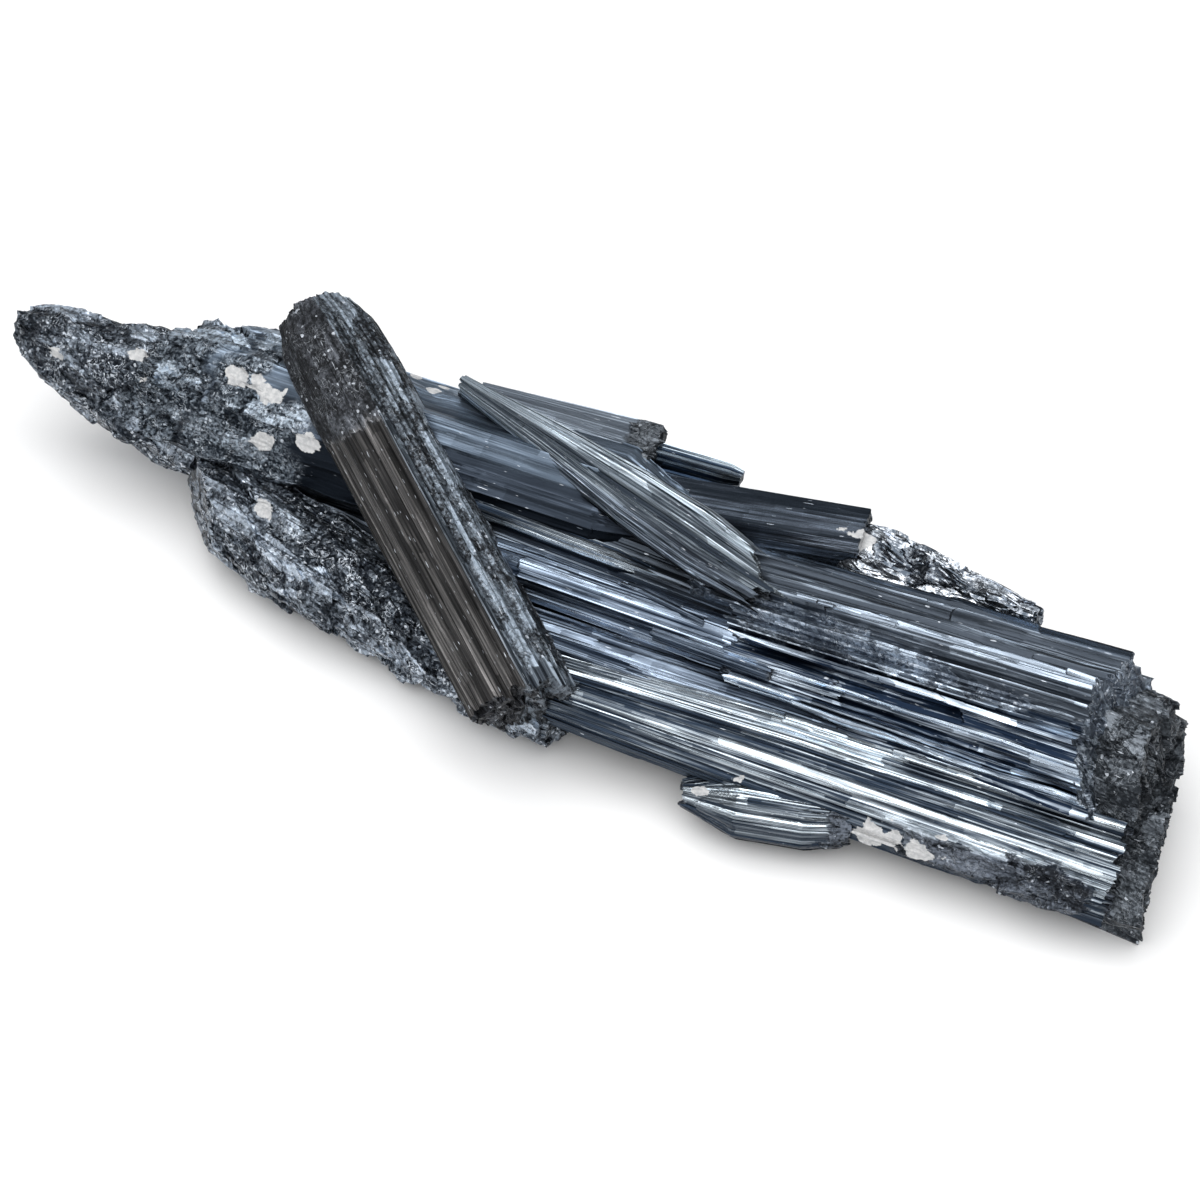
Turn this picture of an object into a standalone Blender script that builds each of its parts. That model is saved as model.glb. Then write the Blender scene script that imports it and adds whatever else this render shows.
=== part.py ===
"""Stibnite crystal cluster lying on its side: long ridged prisms grown side by side, with smaller
crystals across and against them.

The frame is +X along the prisms towards their broken end, +Y to the back, +Z up, and the surface
that the cluster lies on is z = 0. Dimensions are in millimetres and are turned into metres when a
mesh is made.
"""

import math
from dataclasses import dataclass

import bmesh
import bpy
import numpy as np
from mathutils import Matrix, Vector

MM = 0.001
FIT_GAP = 0.3  # clearance where two crystals meet face to face
LUMP_WAVE = 5.5  # distance from one lump of a rough surface to the next
CAP_RINGS = (0.72, 0.36)  # rings of a broken end, as shares of its outline
LEAST_STEP = 0.006  # a crest or valley nearer than this share of the outline to a corner is left out
MOST_RELIEF = 0.4  # a valley reaches at most this share of the way in to the centre line
BITE_SCALE = 2.3  # how much finer the bites in a broken end are than the lumps of a side
ORIGIN = (-4.5845, -0.3235, 0.0)  # middle of the footprint, in the crystals' own coordinates


@dataclass
class Crystal:
    """One crystal: an outline carried from start to end.

    outline holds (across, up) corners round the centre line, counter-clockwise seen from the end.
    ridges is how many crests and valleys run along it, and depth their usual height. knots are
    (place along, width factor, height factor). A slant is how far an end face leans along the
    crystal for each millimetre across and up. rough is the height of the lumps at the start and at
    the end, and ends is that of the two broken faces.
    """

    name: str
    start: tuple
    end: tuple
    outline: tuple
    seed: int
    node: str = ""  # the solid that it is joined into, or none where it stands alone
    ridges: int = 14
    depth: float = 0.35
    knots: tuple = ((0, 1, 1), (1, 1, 1))
    start_slant: tuple = (0, 0)
    end_slant: tuple = (0, 0)
    rough: tuple = (0, 0)
    ends: tuple = (0.5, 0.5)
    rings: int = 5
    flat_below: float = -99.0  # corners lower than this keep no ridges


def slab(width, height, bevel=0.3):
    """A flat blade's outline: a box of that width and height with its corners cut."""
    w, h = width / 2, height / 2
    a, b = w * (1 - bevel), h * (1 - 2 * bevel)
    return ((-w, -b), (-a, -h), (a, -h), (w, -b), (w, b), (a, h), (-a, h), (-w, b))


def rhomb(width, height, top=0.0):
    """A prism's eight-sided outline, with its top edge shifted sideways by top."""
    w, h = width / 2, height / 2
    return (
        (-w, -0.15 * h), (-0.75 * w, -0.75 * h), (0.0, -h), (0.78 * w, -0.7 * h),
        (w, 0.1 * h), (0.7 * w + 0.3 * top, 0.72 * h), (top, h), (-0.75 * w + 0.25 * top, 0.62 * h),
    )


# The crystals that lie on top come first, and a solid gives way, by a cut, to every one before it.
# Those of prism_bundle grew into one another, so they are joined in one solid.
CRYSTALS = (
    Crystal("cross_prism", (-35.6, 10.0, 22.6), (-0.6, -14.0, 10.0), rhomb(10.6, 10.0, -0.6),
            11, ridges=18, depth=0.3, rings=6, ends=(0.5, 0.6), end_slant=(0.25, 0.0),
            knots=((0, 0.72, 0.7), (0.06, 0.94, 0.9), (0.14, 1, 1), (1, 1, 1))),
    Crystal("splinter_prism", (-20.0, 10.4, 19.8), (15.0, 2.4, 18.0), slab(7.8, 4.0),
            12, ridges=18, depth=0.35, end_slant=(-0.35, 0.0),
            knots=((0, 0.25, 0.5), (0.29, 0.55, 0.8), (0.57, 0.9, 0.95), (0.8, 1, 1),
                   (1, 0.8, 0.8))),
    Crystal("back_blade", (-19.0, 11.6, 17.0), (-1.0, 13.5, 15.5), slab(6.5, 5.0, 0.2),
            13, ridges=8, depth=0.2, ends=(0.4, 0.8),
            knots=((0, 0.5, 0.6), (1, 1, 1))),
    Crystal("upper_rod", (-6.0, 13.0, 16.6), (7.3, 14.7, 16.2), slab(2.2, 2.0),
            14, ridges=6, depth=0.1, rings=3,
            knots=((0, 1, 1), (0.9, 1, 1), (1, 0.7, 0.7))),
    Crystal("lower_rod", (-6.0, 10.4, 14.6), (8.4, 12.4, 14.4), slab(4.0, 3.4),
            15, ridges=8, depth=0.12, rings=4,
            knots=((0, 1, 1), (0.86, 1, 1), (0.96, 0.85, 0.85), (1, 0.5, 0.5))),
    Crystal("back_plate", (2.0, 9.8, 13.6), (20.6, 13.6, 14.6), slab(5.6, 5.6, 0.2),
            16, ridges=8, depth=0.15, ends=(0.2, 0.3)),
    Crystal("broken_lump", (19.0, 12.8, 13.4), (38.0, 12.4, 15.2), slab(6.0, 6.5),
            17, ridges=8, depth=0.4, rings=6, rough=(0.7, 0.5),
            knots=((0, 0.7, 0.9), (0.15, 1, 1), (1, 0.45, 0.4))),
    Crystal("lens_prism", (15.0, -12.7, 4.2), (30.0, -9.0, 4.8), slab(6.6, 6.0),
            18, ridges=10, depth=0.3,
            knots=((0, 0.35, 0.4), (0.35, 1, 1), (0.75, 1, 1), (1, 0.7, 0.85))),
    Crystal("main_prism", (11.5, 1.0, 12.2), (50.0, 3.0, 13.3),
            ((-7.5, 0.0), (-7.0, -5.0), (-3.0, -7.5), (6.0, -7.0), (8.5, -1.0), (7.5, 5.5),
             (1.0, 7.5), (-4.5, 5.0)),
            19, "prism_bundle", ridges=38, depth=0.45, rings=7, ends=(0.8, 0.7),
            start_slant=(-0.8, 0.0), end_slant=(0.2, -0.5),
            knots=((0, 0.9, 0.85), (1, 1, 1))),
    Crystal("rear_prism", (22.0, 6.0, 8.5), (53.8, 4.6, 9.2), rhomb(15.5, 15.5, -1.0),
            20, "prism_bundle", ridges=16, depth=0.35, ends=(0.5, 0.7),
            end_slant=(-0.1, -0.15)),
    Crystal("upper_blade", (-14.0, 2.2, 14.5), (22.0, 3.5, 13.0), rhomb(7.0, 6.0, 1.0),
            21, "prism_bundle", ridges=16, depth=0.3),
    Crystal("middle_blade", (-12.0, -2.6, 12.6), (24.0, -0.6, 12.0), rhomb(5.6, 6.5, 0.0),
            22, "prism_bundle", ridges=16, depth=0.3),
    Crystal("lower_blade", (-8.0, -6.6, 9.8), (26.0, -3.6, 9.0), rhomb(5.0, 6.0, 0.0),
            23, "prism_bundle", ridges=14, depth=0.3),
    Crystal("front_prism", (0.0, -10.4, 7.8), (53.8, -5.7, 5.8),
            ((-3.5, -0.6), (-2.6, -2.8), (0.0, -3.7), (2.7, -2.6), (4.5, 0.4), (4.4, 3.4),
             (3.2, 4.7), (-1.0, 3.7), (-2.9, 1.9)),
            24, "prism_bundle", ridges=22, depth=0.35, rings=6,
            knots=((0, 0.75, 0.8), (0.4, 1, 1), (1, 1.1, 1.1))),
    Crystal("left_upper_prism", (-50.0, 4.6, 13.0), (6.0, 8.0, 12.6), rhomb(15.4, 15.4, -1.0),
            25, "prism_bundle", ridges=20, depth=0.4, rings=8, rough=(1.0, 0.0),
            start_slant=(0.3, 0.2),
            knots=((0, 0.8, 0.8), (0.1, 1, 0.96), (0.85, 1, 1), (1, 0.4, 0.6))),
    Crystal("left_lower_prism", (-42.0, -3.4, 7.0), (1.0, -9.0, 5.2), rhomb(11.0, 10.4, 0.0),
            26, "prism_bundle", ridges=16, depth=0.4, rings=8, rough=(1.0, 0.4),
            start_slant=(-1.2, 0.2), knots=((0, 0.75, 0.85), (0.2, 1, 1), (1, 0.9, 0.9))),
    Crystal("root_tip", (-66.0, 2.9, 13.6), (-43.0, 3.6, 9.8), rhomb(12.0, 12.5, 0.0),
            27, "prism_bundle", ridges=10, depth=0.4, rings=7, rough=(0.6, 1.0),
            knots=((0, 0.3, 0.35), (0.15, 0.6, 0.65), (0.7, 1, 1.05), (1, 1, 1))),
    Crystal("base_prism", (-34.0, 1.5, 4.5), (55.8, 1.0, 4.5),
            ((-9.6, 0.5), (-7.6, -4.5), (-2.6, -4.5), (-1.4, -3.5), (1.6, -3.7), (2.6, -4.5),
             (6.4, -4.5), (8.6, -1.4), (8.8, 4.4), (-6.6, 4.2)),
            28, "prism_bundle", ridges=16, depth=0.35, rings=9, rough=(0.4, 0.5),
            flat_below=-4.0, end_slant=(-0.18, 0.0), knots=((0, 0.5, 1), (0.2, 0.85, 1), (1, 1, 1))),
)

# Each is a colour, a roughness and a metallic value.
BRIGHT = ((0.30, 0.34, 0.40), 0.25, 0.9)
DARK = ((0.06, 0.065, 0.075), 0.35, 0.7)
BROKEN = ((0.20, 0.22, 0.25), 0.3, 0.8)
FINISHES = {
    "cross_prism": DARK,
    "splinter_prism": BRIGHT,
    "back_blade": DARK,
    "upper_rod": BRIGHT,
    "lower_rod": BRIGHT,
    "back_plate": DARK,
    "broken_lump": BROKEN,
    "lens_prism": BRIGHT,
    "prism_bundle": BRIGHT,
}


def clear_scene():
    for obj in list(bpy.data.objects):
        bpy.data.objects.remove(obj, do_unlink=True)


def material(name):
    colour, roughness, metallic = FINISHES[name]
    made = bpy.data.materials.new(name)
    made.use_nodes = True
    shader = made.node_tree.nodes["Principled BSDF"]
    shader.inputs["Base Color"].default_value = (*colour, 1)
    shader.inputs["Roughness"].default_value = roughness
    shader.inputs["Metallic"].default_value = metallic
    return made


def ridged_outline(crystal):
    """The outline's points, with more between its corners, and how far each lies in from it.

    The depth changes from a crest to the next valley and is measured towards the centre line.
    """
    rng = np.random.default_rng(crystal.seed)
    corners = np.array(crystal.outline, float)
    closed = np.vstack([corners, corners[:1]])
    along = np.concatenate([[0], np.cumsum(np.linalg.norm(np.diff(closed, axis=0), axis=1))])
    along /= along[-1]
    at, depth = along[:-1], np.zeros(len(corners))
    if crystal.ridges:
        gaps = rng.uniform(0.5, 1.5, crystal.ridges)
        ridge_at = (np.cumsum(gaps) - gaps / 2) / gaps.sum()
        ridge_depth = rng.uniform(0, 0.5, crystal.ridges) * crystal.depth
        ridge_depth[1::2] += rng.uniform(0.8, 2.2, crystal.ridges // 2) * crystal.depth
        clear = [np.abs(along - r).min() > LEAST_STEP for r in ridge_at]
        at = np.sort(np.concatenate([at, ridge_at[clear]]))
        depth = np.interp(at, ridge_at, ridge_depth, period=1)
    points = np.stack([np.interp(at, along, closed[:, k]) for k in (0, 1)], axis=1)
    depth = np.where(points[:, 1] < crystal.flat_below, 0, depth)
    return points, depth


def lumps(point, seed):
    """Rounded lumps from -1 to 1: three crossing waves that repeat every LUMP_WAVE or so."""
    k = 2 * math.pi / LUMP_WAVE
    x, y, z = point
    return (
        math.sin(k * (0.9 * x + 0.5 * y) + seed)
        + math.sin(k * (0.6 * y - 0.8 * z) + 2 * seed)
        + math.sin(1.7 * k * (0.5 * z + 0.6 * x - 0.4 * y) + 3 * seed)
    ) / 3


def capped_cylinder(count, rings):
    """A closed cylinder of radius 1 and height 1, with count sides, and CAP_RINGS in each end."""
    bm = bmesh.new()
    bmesh.ops.create_cone(bm, cap_ends=True, segments=count, radius1=1, radius2=1, depth=1)
    upright = [e for e in bm.edges if e.verts[0].co.z * e.verts[1].co.z < 0]
    bmesh.ops.subdivide_edges(bm, edges=upright, cuts=rings - 1, use_grid_fill=True)
    apothem = math.cos(math.pi / count)
    for share, outer in zip(CAP_RINGS, (1.0, *CAP_RINGS)):
        caps = [f for f in bm.faces if len(f.verts) == count]
        bmesh.ops.inset_individual(bm, faces=caps, thickness=(outer - share) * apothem)
    bmesh.ops.poke(bm, faces=[f for f in bm.faces if len(f.verts) == count])
    bmesh.ops.triangulate(bm, faces=bm.faces)
    return bm


def side_point(crystal, point, depth, v, grow):
    """(across, up) of an outline point at the share v along: tapered, ridged, lumpy and grown."""
    at, widths, heights = zip(*crystal.knots)
    taper = np.array([np.interp(v, at, widths), np.interp(v, at, heights)])
    length = math.dist(crystal.start, crystal.end)
    rough = crystal.rough[0] * (1 - v) + crystal.rough[1] * v
    if point[1] < crystal.flat_below:
        rough = 0
    place = point * taper
    reach = np.linalg.norm(place)
    relief = rough * lumps((*place, v * length), crystal.seed) - depth * taper.min()
    return place * (1 + (max(relief, -MOST_RELIEF * reach) + grow) / reach)


def along_at(crystal, across, up, v, grow):
    """How far along a point lies: the end faces lean, and grow moves them apart."""
    length = math.dist(crystal.start, crystal.end)
    lean_start = np.dot(crystal.start_slant, (across, up))
    lean_end = np.dot(crystal.end_slant, (across, up))
    return v * length + lean_start * (1 - v) + lean_end * v + grow * (int(v == 1) - int(v == 0))


def crystal_mesh(crystal, grow=0.0):
    """A capped cylinder with its points moved onto the crystal, or grow millimetres outside it."""
    points, depth = ridged_outline(crystal)
    count = len(points)
    bm = capped_cylinder(count, crystal.rings)
    for vert in bm.verts:
        out = min(1.0, math.hypot(vert.co.x, vert.co.y))
        turn = math.atan2(vert.co.y, vert.co.x) / math.tau - 0.25  # the first side is at +Y
        i = round(turn * count) % count
        v = vert.co.z + 0.5
        across, up = side_point(crystal, points[i], depth[i], v, grow) * out
        along = along_at(crystal, across, up, v, grow)
        if out < CAP_RINGS[0] + LEAST_STEP:
            outward = 1 if v == 1 else -1
            where = (BITE_SCALE * across, BITE_SCALE * up, outward * LUMP_WAVE)
            along += outward * crystal.ends[int(v)] * lumps(where, crystal.seed)
        vert.co = (across * MM, up * MM, along * MM)
    mesh = bpy.data.meshes.new(crystal.name)
    bm.to_mesh(mesh)
    bm.free()
    return mesh


def place_of(crystal):
    """Local X is across, local Y is up and local Z runs along the crystal."""
    start, end = Vector(crystal.start) - Vector(ORIGIN), Vector(crystal.end) - Vector(ORIGIN)
    along = (end - start).normalized()
    across = Vector((0, 0, 1)).cross(along).normalized()
    up = along.cross(across)
    turn = Matrix((across, up, along)).transposed().to_4x4()
    return Matrix.Translation(start * MM) @ turn


def add_object(name, crystal, collection, grow=0.0):
    obj = bpy.data.objects.new(name, crystal_mesh(crystal, grow))
    collection.objects.link(obj)
    obj.matrix_world = place_of(crystal)
    return obj


def add_cutter(name, crystal, collection, grow=0.0):
    obj = add_object(name, crystal, collection, grow)
    obj.hide_render = True
    obj.display_type = "WIRE"
    return obj


def boolean(obj, operation, other):
    made = obj.modifiers.new(other.name, "BOOLEAN")
    made.operation = operation
    made.solver = "EXACT"
    made.object = other


def box(obj):
    """The lowest and highest corners of the object's box in the world."""
    corners = np.array([obj.matrix_world @ Vector(c) for c in obj.bound_box])
    return corners.min(axis=0), corners.max(axis=0)


def meet(a, b):
    """Whether the two objects' boxes share any space."""
    (low_a, high_a), (low_b, high_b) = box(a), box(b)
    return bool((np.maximum(low_a, low_b) < np.minimum(high_a, high_b)).all())


def build():
    clear_scene()
    cluster = bpy.data.collections.new("stibnite_cluster")
    cutters = bpy.data.collections.new("cutters")
    for collection in (cluster, cutters):
        bpy.context.scene.collection.children.link(collection)
    nodes = {}
    for crystal in CRYSTALS:
        nodes.setdefault(crystal.node or crystal.name, []).append(crystal)
    seats = []
    for name, (first, *joined) in nodes.items():
        solid = add_object(name, first, cluster)
        solid.data.materials.append(material(name))
        members = [add_cutter("grown_" + crystal.name, crystal, cutters) for crystal in joined]
        bpy.context.view_layer.update()
        for member in members:
            boolean(solid, "UNION", member)
        for seat in seats:
            if any(meet(seat, part) for part in (solid, *members)):
                boolean(solid, "DIFFERENCE", seat)
        if not joined:
            seats.append(add_cutter("seat_" + name, first, cutters, FIT_GAP))


build()
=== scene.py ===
# %% [markdown]
# # A cluster of stibnite crystals
# Stibnite is a soft, lead-grey metal ore. It grows as long prisms whose sides are covered in fine
# ridges along their length, and the prisms grow side by side and across one another. The packed
# model gives the plain solids of this cluster. This lesson dresses each crystal in its ridges,
# its broken ends and its blue-grey metallic finish, in the same frame and at the same size.

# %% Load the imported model
import math
from dataclasses import dataclass

import bpy
import numpy as np
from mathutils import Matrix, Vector


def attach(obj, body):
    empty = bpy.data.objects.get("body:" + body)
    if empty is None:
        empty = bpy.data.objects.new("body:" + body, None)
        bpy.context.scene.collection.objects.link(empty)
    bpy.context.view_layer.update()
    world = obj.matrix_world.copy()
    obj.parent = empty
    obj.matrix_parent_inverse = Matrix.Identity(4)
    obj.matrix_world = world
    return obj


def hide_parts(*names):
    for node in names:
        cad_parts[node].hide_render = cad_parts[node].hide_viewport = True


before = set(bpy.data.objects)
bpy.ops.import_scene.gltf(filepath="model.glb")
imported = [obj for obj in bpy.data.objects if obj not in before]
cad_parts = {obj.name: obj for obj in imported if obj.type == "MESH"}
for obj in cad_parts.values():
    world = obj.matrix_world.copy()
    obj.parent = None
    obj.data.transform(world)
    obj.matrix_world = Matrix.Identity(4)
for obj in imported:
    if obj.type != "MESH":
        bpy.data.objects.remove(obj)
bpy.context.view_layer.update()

MM = 0.001

# %% [markdown]
# ## What describes a crystal
# A real prism is an outline carried along a straight line: it tapers a little, its end is broken
# across, and ridges run along its sides. Blender could carve that by hand, but a table of a few
# numbers for each crystal is easier to read and to change, so one function makes them all. The
# lengths are in millimetres, because a crystal of a few centimetres is easier to think of that way.

# %% The description of one crystal
ORIGIN = np.array((-4.5845, -0.3235, 0.0))  # the frame's origin, in the crystals' own coordinates


@dataclass
class Crystal:
    """One crystal: an outline of (across, up) corners, carried from start to end.

    knots are (share along, width factor, height factor). A slant is how far an end face leans along
    the crystal for each millimetre across and up. rough is the height of the rounded lumps at the
    start and at the end, and ends is that of its two broken faces. steps, ridges and lines are
    (spacing, height) of the wide steps, the ridges and the finest lines that run along the sides.
    crust holds hackly patches: height, then from and to along as shares, then from and to across.
    Past a given place across, the finish turns to its second colours: a blue-grey side on the cross prism and a
    duller top on the main prism, while on the splinter and the upper left prism the darker colours before that place
    are painted shade. Faces whose direction out rises less than shade_below are darkened with painted shade.
    """

    name: str
    start: tuple
    end: tuple
    outline: tuple
    seed: int
    node: str = "prism_bundle"
    finish: str = "bright"
    knots: tuple = ((0, 1, 1), (1, 1, 1))
    start_slant: tuple = (0, 0)
    end_slant: tuple = (0, 0)
    rough: tuple = (0, 0)
    ends: tuple = (0.5, 0.5)
    steps: tuple = (3.0, 0.4)
    ridges: tuple = (0.9, 0.16)
    lines: tuple = (0.3, 0.04)
    crust: tuple = ()
    tint_and_shade_from: float = 99.0
    shade_below: float = 0.1
    column: float = 0.13
    row: float = 0.25
    flat_below: float = -99.0


def slab(width, height, bevel=0.3):
    """A flat blade's outline: a box of that width and height with its corners cut."""
    w, h = width / 2, height / 2
    a, b = w * (1 - bevel), h * (1 - 2 * bevel)
    return ((-w, -b), (-a, -h), (a, -h), (w, -b), (w, b), (a, h), (-a, h), (-w, b))


def rhomb(width, height, top=0.0):
    """A prism's eight-sided outline, with its top edge shifted sideways by top."""
    w, h = width / 2, height / 2
    return (
        (-w, -0.15 * h), (-0.75 * w, -0.75 * h), (0.0, -h), (0.78 * w, -0.7 * h),
        (w, 0.1 * h), (0.7 * w + 0.3 * top, 0.72 * h), (top, h), (-0.75 * w + 0.25 * top, 0.62 * h),
    )


# %% [markdown]
# ## The crystals
# The big prisms lie side by side along X and have grown together, so all of them stand for one node
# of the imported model, prism_bundle. The crystals that lie on them or against them each have a node
# of their own. Start, end, outline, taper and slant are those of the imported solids.

# %% The crystals that lie on the bundle or against it
EVERYWHERE = (-9, 9, -99, 99)
LYING = [
    Crystal("cross_prism", (-35.6, 10.0, 22.6), (-0.6, -14.0, 10.0), rhomb(10.6, 10.0, -0.6), 11,
            node="cross_prism", finish="dark", ends=(0.5, 0.7), end_slant=(0.25, 0.0),
            knots=((0, 0.72, 0.7), (0.06, 0.94, 0.9), (0.14, 1, 1), (1, 1, 1)), tint_and_shade_from=-0.7,
            steps=(1.7, 0.25), ridges=(0.7, 0.16), lines=(0.3, 0.035),
            crust=((0.1, -9, 0.33, -99, 1.0), (0.1, -9, 0.97, -0.2, 99))),
    # The splinter's front long side keeps the darker first colours: painted shade.
    Crystal("splinter_prism", (-20.0, 10.4, 19.8), (15.0, 2.4, 18.0), slab(7.8, 4.0), 12,
            node="splinter_prism", finish="fibrous", end_slant=(-0.35, 0.0), ends=(0.5, 2.4),
            tint_and_shade_from=-2.2,
            knots=((0, 0.25, 0.5), (0.29, 0.55, 0.8), (0.57, 0.9, 0.95), (0.8, 1, 1),
                   (1, 0.8, 0.8)),
            steps=(1.6, 0.5), ridges=(0.6, 0.22), lines=(0.2, 0.05), column=0.1, row=0.2),
    Crystal("back_blade", (-19.0, 11.6, 17.0), (-1.0, 13.5, 15.5), slab(6.5, 5.0, 0.2), 13,
            node="back_blade", finish="silver", ends=(0.4, 0.8), knots=((0, 0.5, 0.6), (1, 1, 1)),
            steps=(3.5, 0.12), ridges=(1.1, 0.05), lines=(0.35, 0.015),
            crust=((0.3, 0.84, 9, -99, 99),)),
    Crystal("upper_rod", (-6.0, 13.0, 16.6), (7.3, 14.7, 16.2), slab(2.2, 2.0), 14,
            node="upper_rod", finish="steel_blue", knots=((0, 1, 1), (0.9, 1, 1), (1, 0.7, 0.7)),
            steps=(1.5, 0.05), ridges=(0.5, 0.03), lines=(0.2, 0.01), ends=(0.3, 0.2), column=0.08),
    Crystal("lower_rod", (-6.0, 10.4, 14.6), (8.4, 12.4, 14.4), slab(4.0, 3.4), 15,
            node="lower_rod", finish="steel_blue",
            knots=((0, 1, 1), (0.86, 1, 1), (0.96, 0.85, 0.85), (1, 0.5, 0.5)),
            steps=(1.5, 0.1), ridges=(0.6, 0.05), lines=(0.2, 0.015), ends=(0.3, 0.2), column=0.1),
    Crystal("back_plate", (2.0, 9.8, 13.6), (20.6, 13.6, 14.6), slab(5.6, 5.6, 0.2), 16,
            node="back_plate", finish="glassy", ends=(0.2, 0.3), steps=(4.0, 0.05),
            ridges=(1.2, 0.02), lines=(0.4, 0.006)),
    Crystal("broken_lump", (19.0, 12.8, 13.4), (38.0, 12.4, 15.2), slab(6.0, 6.5), 17,
            node="broken_lump", finish="broken", rough=(0.7, 0.5),
            knots=((0, 0.7, 0.9), (0.15, 1, 1), (1, 0.45, 0.4)), crust=((0.7, *EVERYWHERE),)),
    Crystal("lens_prism", (15.0, -12.7, 4.2), (30.0, -9.0, 4.8), slab(6.6, 6.0), 18,
            node="lens_prism", finish="polished", knots=((0, 0.35, 0.4), (0.35, 1, 1), (0.75, 1, 1), (1, 0.7, 0.85)),
            steps=(2.0, 0.25), ridges=(0.8, 0.1), crust=((0.35, 0.86, 9, -99, 99),), column=0.11),
]

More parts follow.
